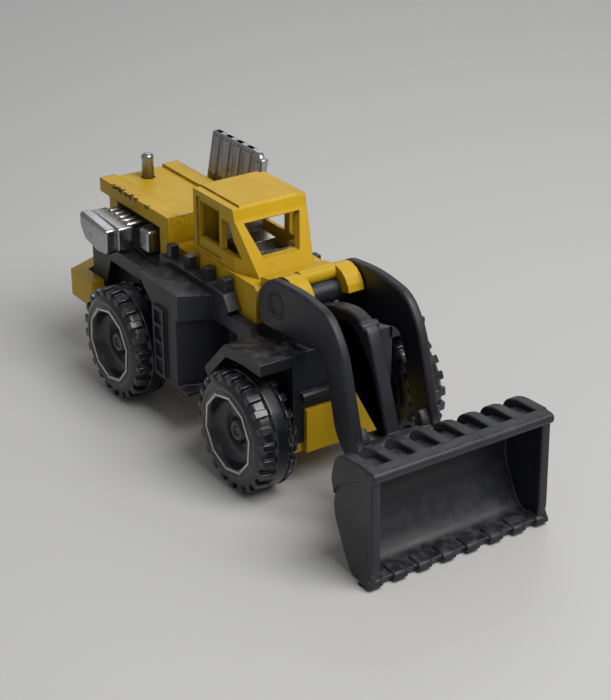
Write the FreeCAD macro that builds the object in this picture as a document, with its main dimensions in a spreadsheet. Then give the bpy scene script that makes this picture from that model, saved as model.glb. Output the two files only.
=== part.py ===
import FreeCAD, Part
import Sketcher
import math
import os

# A small die-cast front loader.  +X is the travel direction, +Y the loader's left, +Z up.
# The origin is on the ground under the middle of the loader.  All lengths are millimetres.

SIZES = {
    # running gear
    "wheel_radius": 8.0,
    "tread_depth": 0.6,
    "wheel_outer": 14.6,
    "tyre_width": 6.0,
    "rear_axle": -21.0,
    "front_axle": 10.0,
    "axle_radius": 0.6,
    "axle_clearance": 0.06,
    "axle_head_radius": 0.85,
    "axle_head_length": 0.6,
    "ring_radius": 5.3,
    "ring_width": 0.45,
    "ring_height": 0.12,
    "hub_radius": 4.7,
    # body casting
    "hood_rear": -36.9,
    "hood_front": -17.7,
    "hood_half": 6.4,
    "hood_top": 26.0,
    "hood_band": 24.0,
    "body_floor": 19.4,
    "cab_rear": -12.0,
    "cab_front": -2.3,
    "cab_half": 5.6,
    "roof": 32.3,
    "brow": 30.6,
    "glass_foot": 2.4,
    "glass_foot_height": 22.5,
    "sill": 25.7,
    "wall": 0.8,
    "nose_front": 3.8,
    "nose_top": 23.6,
    "nose_floor": 18.5,
    "post_radius": 1.8,
    # loader linkage
    "pivot_x": 8.9,
    "pivot_z": 23.3,
    "pivot_radius": 1.5,
    "hook_inner": 2.5,
    "hook_outer": 4.9,
    "arm_inner": 5.1,
    "arm_outer": 6.5,
    "tilt_x": 27.8,
    "tilt_z": 7.0,
    "tilt_radius": 0.9,
    # bucket
    "bucket_half": 13.1,
    "bucket_lip": 39.5,
    "bucket_top": 15.2,
    "bucket_wall": 1.0,
    "tooth_pitch": 3.6,
    # chassis
    "frame_half": 7.6,
    "tank_half": 12.0,
    "tank_front": -6.6,
    "tank_floor": 6.5,
    "tank_top": 20.2,
    "plate_floor": 5.0,
    "plate_top": 6.3,
    "plate_half": 7.8,
    "tail": -39.5,
    "tail_half": 11.7,
    "tail_floor": 9.0,
    "tail_top": 13.0,
    "rivet_hole": 0.8,
    # bright parts
    "stack_x": -34.2,
    "stack_radius": 0.9,
}

doc = FreeCAD.newDocument("front_loader")
sheet = doc.addObject("Spreadsheet::Sheet", "Sizes")
for row, (alias, number) in enumerate(SIZES.items(), start=1):
    sheet.set("A%d" % row, alias)
    sheet.set("B%d" % row, str(number))
    sheet.setAlias("B%d" % row, alias)
doc.recompute()


# ---- values tied to the sheet -------------------------------------------------------------

class Size:
    """A number together with the sheet expression that gives it."""

    def __init__(self, number, text):
        self.number = number
        self.text = text

    def __add__(self, other):
        other = tied(other)
        return Size(self.number + other.number, "(%s + %s)" % (self.text, other.text))

    def __sub__(self, other):
        other = tied(other)
        return Size(self.number - other.number, "(%s - %s)" % (self.text, other.text))

    def __mul__(self, factor):
        return Size(self.number * factor, "(%s * %s)" % (self.text, factor))

    def __neg__(self):
        return self * -1


def tied(value):
    """A plain number, an alias of the sheet or a Size, as a Size."""
    if isinstance(value, Size):
        return value
    if isinstance(value, str):
        return Size(SIZES[value], "Sizes." + value)
    return Size(float(value), repr(float(value)))


def bind(thing, field, value):
    """Ties a property to the sheet."""
    value = tied(value)
    thing.setExpression(field, value.text)
    return value.number


# ---- sketches and features ---------------------------------------------------------------

def new_body(label):
    body = doc.addObject("PartDesign::Body", label)
    body.Label = label
    return body


def origin_part(body, role):
    """One of the body's own origin planes or axes."""
    return [part for part in body.Origin.OriginFeatures if part.Role == role][0]


def new_sketch(body, role, shift=0.0):
    """A sketch flat on one of the body's own planes, moved along that plane's normal."""
    sketch = body.newObject("Sketcher::SketchObject", "outline")
    sketch.AttachmentSupport = (origin_part(body, role), [""])
    sketch.MapMode = "FlatFace"
    number = tied(shift).number
    sketch.AttachmentOffset = FreeCAD.Placement(FreeCAD.Vector(0, 0, number), FreeCAD.Rotation())
    bind(sketch, "AttachmentOffset.Base.z", shift)
    return sketch


def hold(sketch, kind, where, value):
    """One dimension of a sketch, tied to the sheet."""
    value = tied(value)
    index = sketch.addConstraint(Sketcher.Constraint(kind, *where, value.number))
    sketch.setExpression("Constraints[%d]" % index, value.text)


def add_loop(sketch, corners):
    """A closed outline.  Each corner is (u, v), and (u, v, bulge) starts an arc whose middle
    stands off its chord by bulge, to the right of the way round.  All of its dimensions go in
    at once, so that the outline never moves while it is only half held."""
    first = sketch.GeometryCount
    count = len(corners)
    places = [FreeCAD.Vector(tied(c[0]).number, tied(c[1]).number, 0) for c in corners]
    edges = []
    for i in range(count):
        here = places[i]
        there = places[(i + 1) % count]
        if len(corners[i]) > 2:
            along = (there - here).normalize()
            right = FreeCAD.Vector(along.y, -along.x, 0)
            middle = (here + there) * 0.5 + right * corners[i][2]
            # a sketch counts an arc's ends anticlockwise
            ends = (here, there) if corners[i][2] > 0 else (there, here)
            edges.append(Part.Arc(ends[0], middle, ends[1]))
        else:
            edges.append(Part.LineSegment(here, there))
    sketch.addGeometry(edges)
    drawn = sketch.Geometry[first:]
    opens = [1 if edge.StartPoint.distanceToPoint(place) < 1e-6 else 2
             for edge, place in zip(drawn, places)]
    joints = []
    dimensions = []
    for i in range(count):
        after = (i + 1) % count
        joints.append(Sketcher.Constraint(
            "Coincident", first + i, 3 - opens[i], first + after, opens[after]))
        for kind, value in zip(("DistanceX", "DistanceY"), corners[i]):
            dimensions.append((kind, (-1, 1, first + i, opens[i]), tied(value)))
        if len(corners[i]) > 2:
            dimensions.append(("Radius", (first + i,), tied(drawn[i].Radius)))
    sketch.addConstraint(joints + [
        Sketcher.Constraint(kind, *where, value.number) for kind, where, value in dimensions])
    start = sketch.ConstraintCount - len(dimensions)
    for index, (kind, where, value) in enumerate(dimensions, start=start):
        sketch.setExpression("Constraints[%d]" % index, value.text)


def add_circle(sketch, u, v, radius):
    spot = FreeCAD.Vector(tied(u).number, tied(v).number, 0)
    index = sketch.addGeometry(Part.Circle(spot, FreeCAD.Vector(0, 0, 1), tied(radius).number))
    hold(sketch, "DistanceX", (-1, 1, index, 3), u)
    hold(sketch, "DistanceY", (-1, 1, index, 3), v)
    hold(sketch, "Radius", (index,), radius)


def box_loop(u0, u1, v0, v1):
    return [(u0, v0), (u1, v0), (u1, v1), (u0, v1)]


def loops_sketch(body, role, shift, *loops):
    sketch = new_sketch(body, role, shift)
    for loop in loops:
        add_loop(sketch, loop)
    return sketch


def circle_sketch(body, role, shift, *circles):
    sketch = new_sketch(body, role, shift)
    for circle in circles:
        add_circle(sketch, *circle)
    return sketch


def extrude(body, kind, sketch, length, midplane=False, reverse=False):
    feature = body.newObject("PartDesign::" + kind, kind.lower())
    feature.Profile = sketch
    feature.Midplane = midplane
    feature.Reversed = reverse
    feature.Length = tied(length).number
    bind(feature, "Length", length)
    doc.recompute()
    if not feature.isValid() or feature.Shape.isNull():
        raise RuntimeError("%s: %s failed" % (body.Label, feature.Name))
    return feature


def repeat(body, feature, role, length, count):
    """A straight row of one feature along one of the body's own axes."""
    row = body.newObject("PartDesign::LinearPattern", "row")
    row.Originals = [feature]
    row.Direction = (origin_part(body, role), [""])
    row.Length = tied(length).number
    bind(row, "Length", length)
    row.Occurrences = count
    body.Tip = row
    doc.recompute()
    return row


def side_pad(body, loop, half):
    """A pad of a side view, equally wide to both sides of the middle."""
    return extrude(body, "Pad", loops_sketch(body, "XZ_Plane", 0, loop), tied(half) * 2, True)


def cut(body, sketch, length, midplane=False, reverse=False):
    """A pocket that must take material away."""
    before = body.Tip.Shape.Volume
    pocket = extrude(body, "Pocket", sketch, length, midplane, reverse)
    if pocket.Shape.Volume > before - 1e-4:
        raise RuntimeError("%s: a pocket cuts nothing" % body.Label)
    return pocket


def side_cut(body, loop, half):
    return cut(body, loops_sketch(body, "XZ_Plane", 0, loop), tied(half) * 2, True)


def flank_pads(body, near, far, *loops):
    """A pad of side views between two distances from the middle, on both sides."""
    for sign in (1, -1):
        sketch = loops_sketch(body, "XZ_Plane", tied(near) * sign, *loops)
        extrude(body, "Pad", sketch, tied(far) - near, reverse=(sign < 0))


def flank_cuts(body, near, far, *loops):
    for sign in (1, -1):
        sketch = loops_sketch(body, "XZ_Plane", tied(near) * sign, *loops)
        cut(body, sketch, tied(far) - near, reverse=(sign > 0))


def plan_pad(body, floor, top, *loops):
    sketch = loops_sketch(body, "XY_Plane", floor, *loops)
    return extrude(body, "Pad", sketch, tied(top) - floor)


def plan_cut(body, floor, top, *loops):
    """Takes away everything inside the plan outlines between two heights."""
    sketch = loops_sketch(body, "XY_Plane", floor, *loops)
    return cut(body, sketch, tied(top) - floor, reverse=True)


def post(body, floor, top, *circles):
    """Upright round posts, each (x, y, radius)."""
    return extrude(body, "Pad", circle_sketch(body, "XY_Plane", floor, *circles),
                   tied(top) - floor)


def upright_holes(body, floor, top, *circles):
    return cut(body, circle_sketch(body, "XY_Plane", floor, *circles), tied(top) - floor,
               reverse=True)


def cross_hole(body, u, v, radius, half):
    """A round hole straight through from side to side."""
    return cut(body, circle_sketch(body, "XZ_Plane", 0, (u, v, radius)), tied(half) * 2, True)


def cross_bar(body, u, v, radius, half):
    return extrude(body, "Pad", circle_sketch(body, "XZ_Plane", 0, (u, v, radius)),
                   tied(half) * 2, True)


def end_hole(body, x, z, radius, near, far):
    """A round blind hole in both flanks, between two distances from the middle."""
    for sign in (1, -1):
        sketch = circle_sketch(body, "XZ_Plane", tied(near) * sign, (x, z, radius))
        cut(body, sketch, tied(far) - near, reverse=(sign > 0))


def mirrored_loop(loop):
    """The same plan outline on the other side of the middle."""
    return [(u, -tied(v)) for u, v in reversed(loop)]


def front_cut(body, start, end, *loops):
    """Takes away everything inside the front-view outlines between two places along X."""
    sketch = loops_sketch(body, "YZ_Plane", start, *loops)
    return cut(body, sketch, tied(end) - start, reverse=True)


def front_pad(body, start, end, *loops):
    return extrude(body, "Pad", loops_sketch(body, "YZ_Plane", start, *loops),
                   tied(end) - start)


def right_pad(body, near, far, *loops):
    """A pad of side views on the right-hand side only."""
    return extrude(body, "Pad", loops_sketch(body, "XZ_Plane", near, *loops), tied(far) - near)


def turned(body, loop):
    """A solid of revolution about the body's own X axis from a half section (x, r)."""
    sketch = new_sketch(body, "XY_Plane")
    add_loop(sketch, loop)
    revolution = body.newObject("PartDesign::Revolution", "revolution")
    revolution.Profile = sketch
    revolution.ReferenceAxis = (origin_part(body, "X_Axis"), [""])
    revolution.Angle = 360
    doc.recompute()
    return revolution


# ---- running gear ------------------------------------------------------------------------

ACROSS = {
    1: FreeCAD.Rotation(FreeCAD.Vector(0, 0, 1), 90),       # own +X turned to the left
    -1: FreeCAD.Rotation(FreeCAD.Vector(0, 0, 1), -90),     # own +X turned to the right
}


def place(body, x, z, side=1):
    """Puts a turned part on its axle line, with its own +X pointing to one side."""
    body.Placement = FreeCAD.Placement(
        FreeCAD.Vector(tied(x).number, 0, tied(z).number), ACROSS[side])
    bind(body, "Placement.Base.x", x)
    bind(body, "Placement.Base.z", z)


def make_wheel(label, axle, side):
    """Hard plastic wheel: tyre, dished hub and a blind bore that snaps over the axle's head."""
    body = new_body(label)
    outer = tied("wheel_outer")
    inner = outer - "tyre_width"
    carcass = tied("wheel_radius") - "tread_depth"
    bore = tied("axle_radius") + "axle_clearance"
    chamber = tied("axle_head_radius") + "axle_clearance"
    chamber_end = outer - 2.2
    chamber_start = chamber_end - "axle_head_length" - 0.3
    rim = tied("ring_radius") + 0.5
    turned(body, [
        (inner, bore),
        (chamber_start, bore),
        (chamber_start, chamber),
        (chamber_end, chamber),
        (chamber_end, 0.0),
        (outer - 1.0, 0.0),
        (outer - 1.3, 1.3),
        (outer - 2.0, 1.9),
        (outer - 1.5, tied("hub_radius") - 0.6),
        (outer - "ring_height", "hub_radius"),
        (outer - "ring_height", rim - 0.3),
        (outer - 0.35, rim),
        (outer - 1.3, carcass),
        (inner + 1.3, carcass),
        (inner + 0.3, carcass - 0.9),
        (inner, rim),
    ])
    lug_half = 0.62
    lug_foot = carcass - 0.4
    lug = [(-lug_half, lug_foot), (lug_half, lug_foot),
           (lug_half * 0.8, "wheel_radius"), (-lug_half * 0.8, "wheel_radius")]
    front_pad(body, inner + 0.7, outer - 0.7, lug)
    ring = body.newObject("PartDesign::PolarPattern", "lugs")
    ring.Originals = [body.Tip]
    ring.Axis = (origin_part(body, "X_Axis"), [""])
    ring.Angle = 360
    ring.Occurrences = 22
    body.Tip = ring
    doc.recompute()
    place(body, axle, "wheel_radius", side)
    return body


def make_rim_ring(label, axle, side):
    """Thin bright ten-sided ring set on the wheel's outer rim."""
    body = new_body(label)
    corners = 10
    loops = []
    for radius in (SIZES["ring_radius"], SIZES["ring_radius"] - SIZES["ring_width"]):
        share = radius / SIZES["ring_radius"]
        turns = [2 * math.pi * i / corners for i in range(corners)]
        loops.append([(tied("ring_radius") * round(share * math.cos(turn), 6),
                       tied("ring_radius") * round(share * math.sin(turn), 6))
                      for turn in turns])
    front_pad(body, tied("wheel_outer") - "ring_height", "wheel_outer", *loops)
    place(body, axle, "wheel_radius", side)
    return body


def make_axle(label, axle):
    """Plain wire axle with an upset head at each end."""
    body = new_body(label)
    head_end = tied("wheel_outer") - 2.35
    neck = head_end - "axle_head_length"
    turned(body, [
        (-head_end, 0.0),
        (head_end, 0.0),
        (head_end, "axle_head_radius"),
        (neck, "axle_head_radius"),
        (neck, "axle_radius"),
        (-neck, "axle_radius"),
        (-neck, "axle_head_radius"),
        (-head_end, "axle_head_radius"),
    ])
    place(body, axle, "wheel_radius")
    return body


# ---- body casting ------------------------------------------------------------------------

def make_body_shell():
    """Yellow die-cast shell: hood, cab, nose and the two hooks over the arm pivot."""
    body = new_body("body_shell")
    cab_solid(body)
    cab_openings(body)
    hood(body)
    hooks(body)
    # posts inside that the rivets go into
    post(body, "body_floor", tied("hood_top") - 1.0, (RIVETS[0], 0.0, "post_radius"))
    post(body, "nose_floor", tied("nose_top") - 0.5, (RIVETS[1], 0.0, "post_radius"))
    upright_holes(body, tied("nose_floor") - 1.0, 22.0, *[(x, 0.0, "rivet_hole") for x in RIVETS])
    return body


def cab_solid(body):
    foot = tied("glass_foot")
    half = tied("cab_half")
    side_pad(body, [
        ("cab_rear", "body_floor"),
        (foot, "body_floor"),
        (foot, "glass_foot_height"),
        (tied("cab_front") + 0.4, "brow"),
        ("cab_front", tied("roof") - 0.4),
        (tied("cab_front") - 0.4, "roof"),
        ("cab_rear", "roof"),
    ], half)
    # nose block that the cab stands on
    front = tied("nose_front")
    top = tied("nose_top")
    back = tied("cab_rear") + 2.0
    side_pad(body, [(back, "nose_floor"), (front, "nose_floor"), (front, top - 0.5),
                    (front - 0.5, top), (back, top)], 6.0)
    # the cab narrows in plan towards the foot of the windscreen
    taper = [(tied("cab_front") + 0.2, half + 0.01), (foot, 4.0), (foot + 1.0, 4.0),
             (foot + 1.0, half + 0.01)]
    plan_cut(body, top, "roof", taper, mirrored_loop(taper))
    # hollow inside, with a narrower space behind the windscreen
    below = tied("nose_floor") - 1.0
    side_cut(body, box_loop(tied("cab_rear") + "wall", -2.7, below, tied("roof") - 1.1),
             half - "wall")
    side_cut(body, [(-3.0, below), (0.0, below), (0.0, 21.4), (1.2, 21.4), (1.2, 22.4),
                    (-2.2, 28.9), (-3.0, 28.9)], 3.2)


def cab_openings(body):
    """Door windows, quarter windows, windscreen, sunk door frames and the roof gutters."""
    half = tied("cab_half")
    side_cut(body, box_loop(-10.6, -6.0, "sill", 30.6), "hood_half")
    side_cut(body, [(-4.9, "sill"), (-0.9, "sill"), (-3.2, 30.0), (-4.9, 30.0)], "hood_half")
    front_cut(body, -3.2, 4.0, [(-2.74, "sill"), (2.74, "sill"), (4.25, 30.1), (-4.25, 30.1)])
    flank_cuts(body, half - 0.25, half + 1.0, box_loop(-11.2, -5.4, 24.2, 31.2))
    gutter = box_loop("cab_rear", "cab_front", half - 1.2, half)
    plan_cut(body, tied("roof") - 0.25, tied("roof") + 1.0, gutter, mirrored_loop(gutter))


def hood(body):
    half = tied("hood_half")
    top = tied("hood_top")
    rear = tied("hood_rear")
    front = tied("hood_front")
    floor = tied("body_floor")
    side_pad(body, box_loop(rear, front, floor, top), half)
    # low bridge that carries the hood to the cab
    side_pad(body, box_loop(front - 0.5, tied("cab_rear") + 0.4, floor, 22.0), 5.4)
    # shallow channel in the top, open at the rear
    plan_cut(body, top - 0.4, top + 1.0, box_loop(rear - 1.0, -20.4, -3.9, 3.9))
    # engine bay: sunk sides, hollow inside, and a window through each side
    flank_cuts(body, half - 1.4, half + 1.0, box_loop(rear - 1.0, -19.9, floor - 0.5, "hood_band"))
    side_cut(body, box_loop(rear + "wall", front - "wall", floor - 1.0, top - 1.3), 4.6)
    bay = box_loop(-34.5, -20.4, 4.0, half + 1.0)
    plan_cut(body, floor - 0.5, "hood_band", bay, mirrored_loop(bay))
    upright_holes(body, top - 3.0, top + 1.0, ("stack_x", 0.0, tied("stack_radius") + 0.1))


def hooks(body):
    """Tongue ahead of the nose, the two hooks over the arm pivot and the bar between them."""
    front = tied("nose_front")
    x = tied("pivot_x")
    z = tied("pivot_z")
    side_pad(body, [(front - 0.6, 22.2), (x - 2.6, 22.2), (x - 1.9, 25.2), (front - 0.6, 24.6)],
             "hook_outer")
    # claw over the pivot shaft: a round back about the shaft, cut flat at the front
    back = 3.2
    arch = []
    for turn in range(8, 180, 18):
        angle = math.radians(turn)
        arch.append((x + round(back * math.cos(angle), 3), z + round(back * math.sin(angle), 3)))
    flank_pads(body, "hook_inner", "hook_outer", [
        (x - 3.6, 22.0), (x - 1.0, 22.0), (x + 1.2, z - 0.1)] + arch)
    # the right-hand claw runs on into a point, forward and down
    right_pad(body, "hook_inner", "hook_outer", [
        (x + 1.9, z + 1.2), (x + 1.9, z + 0.1), (x + 3.9, z - 0.9), (x + 3.1, z + 1.0)])
    cross_bar(body, x - 0.5, z + 2.3, 1.05, tied("hook_inner") + 0.2)
    cross_hole(body, x, z, tied("pivot_radius") + "axle_clearance", tied("hook_outer") + 0.5)


# ---- chassis -----------------------------------------------------------------------------

RIVETS = (-28.0, 1.9)


def make_mid_frame():
    """Black plastic middle frame: side tanks, rear covers, front fenders and axle seats."""
    body = new_body("mid_frame")
    half = tied("frame_half")
    side_pad(body, [
        (-30.4, 9.7), (-27.0, 9.2), (-27.0, "plate_top"), (14.5, "plate_top"), (14.5, 18.9),
        (11.4, 18.9), (10.4, 17.4), (5.0, 17.4), (4.0, "nose_floor"),
        (-10.6, "nose_floor"), (-11.4, "body_floor"), (-34.6, "body_floor"), (-34.6, 9.7),
    ], half)
    # small lip across the front face, above the yellow wall
    side_pad(body, [
        (14.0, 12.3), (15.0, 12.3), (15.3, 12.6), (15.3, 13.1), (15.0, 13.4), (14.0, 13.4)], 6.5)
    tanks(body)
    knobs(body)
    # covers below the exhaust and the black filling of the tail
    flank_pads(body, half - 0.2, 9.6, [
        (-34.0, 13.0), (-30.2, 13.0), (-28.6, 16.8), (-16.0, 16.8), (-17.0, 18.9),
        (-34.0, 18.9)])
    plan_pad(body, tied("tail_floor") + 0.4, 12.2, [
        (-31.2, 9.5), (-35.5, 9.5), (-37.3, 5.5), (-37.3, -5.5), (-35.5, -9.5), (-31.2, -9.5)])
    # angular fenders over the front wheels
    flank_pads(body, half - 0.2, 12.6, [
        (2.4, 12.4), (6.9, 17.0), (10.6, 17.4), (14.8, 17.4), (14.8, 18.9), (10.4, 18.9),
        (6.4, 18.4), (1.6, 13.4)])
    # seats for the axles, open below
    slot = tied("axle_radius") + 0.02
    for axle in ("rear_axle", "front_axle"):
        x = tied(axle)
        side_cut(body, box_loop(x - slot, x + slot, 4.0, tied("wheel_radius") + slot), 9.0)
    # saddle under the arm pivot
    x = tied("pivot_x")
    side_pad(body, box_loop(x - 1.9, x + 1.9, 17.0, tied("pivot_z") - "pivot_radius" - 0.1), 2.3)
    # gap between the saddle's two cheeks for the loader's middle lever
    side_cut(body, box_loop(x - 2.2, x + 2.2, 17.6, 24.0), 1.4)
    upright_holes(body, 5.0, 20.0, *[(x, 0.0, "rivet_hole") for x in RIVETS])
    return body


def tanks(body):
    """Tank on each side with a sloping shoulder, a raked front face and a ladder."""
    half = tied("tank_half")
    front = tied("tank_front")
    floor = tied("tank_floor")
    top = tied("tank_top")
    inner = tied("frame_half")
    flank_pads(body, inner, half, [
        (-12.1, floor), (front + 2.6, floor), (front + 2.6, top), (-16.6, top), (-12.1, 16.0)])
    rake = [(front, half + 1.0), (front, half), (front + 2.5, 5.2), (1.6, 5.2),
            (1.6, half + 1.0)]
    plan_cut(body, tied("plate_top") + 0.6, 16.6, rake, mirrored_loop(rake))
    rake = [(front + 0.6, half + 1.0), (front + 0.6, half), (front + 2.5, inner), (1.6, inner),
            (1.6, half + 1.0)]
    plan_cut(body, 16.0, 21.0, rake, mirrored_loop(rake))
    slope = [(7.4, top), (half, 17.4), (half + 1.0, 17.4), (half + 1.0, top + 0.5),
             (7.4, top + 0.5)]
    front_cut(body, -18.0, 0.0, slope, mirrored_loop(slope))
    windows = [box_loop(-11.5, -9.7, z, z + 1.9) for z in (7.5, 9.9, 12.3, 14.7)]
    flank_pads(body, half - 0.2, half + 0.45, box_loop(-12.0, -9.2, 7.0, 17.1), *windows)


def knobs(body):
    """Deck strip beside the cab with four knobs."""
    start = tied("hood_front") + 0.1
    flank_pads(body, 6.05, 7.9, [
        (start, 17.8), (-1.6, 17.8), (0.2, 19.3), (-1.2, 21.2), (start, 21.2)])
    row = [box_loop(x - 0.65, x + 0.65, 20.8, 23.1) for x in (-15.6, -11.0, -6.4, -2.0)]
    flank_pads(body, 6.3, 7.5, *row)


def make_base_plate():
    """Yellow base: floor plate, front wall between the wheels and the rear counterweight rim."""
    body = new_body("base_plate")
    floor = tied("plate_floor")
    top = tied("plate_top")
    tail_floor = tied("tail_floor")
    side_pad(body, [
        (-31.0, tail_floor), (-28.6, floor), (14.4, floor), (14.4, top), (-27.2, top),
        (-31.0, tail_floor + 0.6)], "plate_half")
    # front wall, narrower than the plate, standing against the frame's front face
    side_pad(body, [
        (13.5, floor), (15.2, floor), (15.2, 11.0), (14.5, 11.0), (14.5, top), (13.5, top)], 6.0)
    tail = tied("tail")
    half = tied("tail_half")
    plan_pad(body, tail_floor, "tail_top", [
        (tail, 6.5), (tail, -6.5), (tail + 2.3, -half), (-30.8, -half), (-30.8, half),
        (tail + 2.3, half)])
    rim = 2.0
    plan_cut(body, tail_floor + 0.4, tied("tail_top") + 1.0, [
        (tail + rim, 5.7), (tail + rim, -5.7), (tail + rim + 1.8, -half + rim),
        (-29.0, -half + rim), (-29.0, half - rim), (tail + rim + 1.8, half - rim)])
    upright_holes(body, 4.0, 9.0, *[(x, 0.0, "rivet_hole") for x in RIVETS])
    # seats that sink the rivet heads below the plate's face
    upright_holes(body, 4.0, floor + 0.6, *[(x, 0.0, tied("rivet_hole") * 2 + 0.1) for x in RIVETS])
    return body


def make_rivet(label, x):
    """Rivet from below through the base and the frame into a post of the shell."""
    body = new_body(label)
    floor = tied("plate_floor")
    post(body, floor + 0.1, floor + 0.6, (0.0, 0.0, tied("rivet_hole") * 2))
    post(body, floor + 0.6, floor + 16.5, (0.0, 0.0, tied("rivet_hole") - 0.05))
    body.Placement = FreeCAD.Placement(FreeCAD.Vector(x, 0, 0), FreeCAD.Rotation())
    return body


# ---- bright parts ------------------------------------------------------------------------

def make_engine_insert():
    """Bright plated moulding: engine block, headers, silencer, stack and the ribbed panel."""
    body = new_body("engine_insert")
    floor = tied("body_floor")
    side_pad(body, box_loop(-33.6, -20.8, floor, 24.4), 4.4)
    upright_holes(body, floor - 0.5, 24.5, (RIVETS[0], 0.0, tied("post_radius") + 0.1))
    # stack through the hood, on a foot
    plan_pad(body, 23.6, 24.4, box_loop(-35.4, -33.0, -1.1, 1.1))
    post(body, 24.0, 29.2, ("stack_x", 0.0, "stack_radius"))
    exhaust(body)
    side_panel(body)
    return body


def exhaust(body):
    """Five header pipes on the right, the flat silencer they run to and the pump ahead."""
    pipes = [(-31.6 + 1.5 * i, 22.8, 0.5) for i in range(5)]
    extrude(body, "Pad", circle_sketch(body, "XZ_Plane", 4.2, *pipes), 4.6)
    right_pad(body, 7.9, 10.3, [(-32.6, 19.6), (-24.6, 19.6), (-24.6, 23.0), (-32.6, 23.3)])
    right_pad(body, 10.0, 12.0, [
        (-31.6, 19.6), (-28.0, 18.9), (-25.3, 19.2), (-25.3, 22.8), (-32.9, 23.4),
        (-32.9, 21.4)])
    right_pad(body, 4.2, 7.8, box_loop(-23.4, -20.9, 19.9, 23.2))


def side_panel(body):
    """Tall ribbed panel on the left, leaning outward, on a bracket from the block."""
    foot = 21.4
    top = 32.0
    near = 7.1
    thick = 0.8
    proud = 0.35
    reach = (top - foot) * math.tan(math.radians(10.0))
    start = -30.5
    pitch = 2.75
    front_pad(body, -29.5, -21.2, box_loop(4.2, near + thick, foot, foot + 1.6))
    front_pad(body, start, start + 4.75 * pitch, [
        (near, foot), (near + thick, foot), (near + thick + reach, top), (near + reach, top)])
    rib = front_pad(body, start, start + 2.3, [
        (near - proud, foot), (near + thick + proud, foot),
        (near + thick + proud + reach, top), (near - proud + reach, top)])
    repeat(body, rib, "X_Axis", 4 * pitch, 5)
    # rounded top front corner
    side_cut(body, [(-18.2, top + 0.1), (-17.3, top - 0.9), (-17.0, top - 2.4),
                    (-16.0, top - 2.4), (-16.0, top + 0.1)], 14.0)


def make_cab_interior():
    """Bright plated seat, floor and dashboard seen through the cab openings."""
    body = new_body("cab_interior")
    side_pad(body, [
        (-9.6, 22.7), (-0.2, 22.7), (0.0, 23.4), (-0.5, 25.2), (-1.4, 25.5), (-2.2, 24.0),
        (-5.0, 23.9), (-5.2, 25.4), (-8.2, 25.5), (-8.6, 29.0), (-9.6, 29.2)], 2.9)
    # floor tray that rests on the frame below
    side_pad(body, box_loop(-10.9, -3.2, 22.0, 23.0), 4.6)
    side_pad(body, box_loop(-10.0, -4.0, "nose_floor", 22.4), 3.4)
    return body


# ---- loader ------------------------------------------------------------------------------

def make_loader_arms():
    """Black plastic lift arms with the middle lever and the lower brace."""
    body = new_body("loader_arms")
    inner = tied("arm_inner")
    outer = tied("arm_outer")
    # one arm in side view: along the lower edge, round the elbow, down to the end eye and
    # back up the front edge to the shoulder
    flank_pads(body, inner, outer, [
        (4.9, 21.0), (5.8, 19.4), (14.3, 19.8), (18.2, 20.3, -0.5), (20.2, 18.0),
        (21.0, 14.3), (21.8, 11.0), (25.7, 6.6, 1.5), (29.8, 7.2, 0.8), (28.2, 9.2),
        (26.3, 10.9), (24.6, 15.8, 0.25), (22.4, 22.0, 0.5), (19.6, 25.6, 0.6),
        (13.6, 26.7), (8.6, 25.9, 0.5), (4.9, 23.0)])
    # middle lever from the pivot shaft over its own elbow down to the brace
    side_pad(body, [
        (8.4, 20.5), (10.6, 20.9), (13.5, 21.6), (16.9, 22.3), (18.3, 21.9), (19.5, 20.6),
        (21.7, 18.0), (22.9, 12.6), (24.0, 8.6), (26.0, 8.4), (25.0, 11.4), (23.9, 14.9),
        (21.4, 21.6), (20.5, 23.1), (18.7, 23.8), (16.9, 24.2), (13.2, 23.6), (10.4, 22.4),
        (8.4, 22.0)], 1.0)
    # small boss on the elbow of the lever
    cross_bar(body, 19.9, 23.5, 0.7, 1.6)
    side_pad(body, [(23.9, 8.4), (27.6, 8.4), (27.8, 9.4), (26.2, 10.6), (25.0, 10.6)],
             inner + 0.2)
    # trunnions that the bucket's ears snap on to
    for sign in (1, -1):
        sketch = circle_sketch(body, "XZ_Plane", (outer - 0.3) * sign,
                               ("tilt_x", "tilt_z", "tilt_radius"))
        extrude(body, "Pad", sketch, 1.7, reverse=(sign < 0))
    # bore for the pivot shaft and the round dish outside it
    cross_hole(body, "pivot_x", "pivot_z", "pivot_radius", "hood_half")
    end_hole(body, "pivot_x", "pivot_z", tied("pivot_radius") + 0.3, outer - 0.4, outer + 0.5)
    return body


def make_pivot_shaft():
    """Shaft through both arms, turning under the hooks."""
    body = new_body("arm_pivot_shaft")
    end = tied("arm_outer") - 0.4
    turned(body, [(-end, 0.0), (end, 0.0), (end, "pivot_radius"), (-end, "pivot_radius")])
    place(body, "pivot_x", "pivot_z")
    return body


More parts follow.
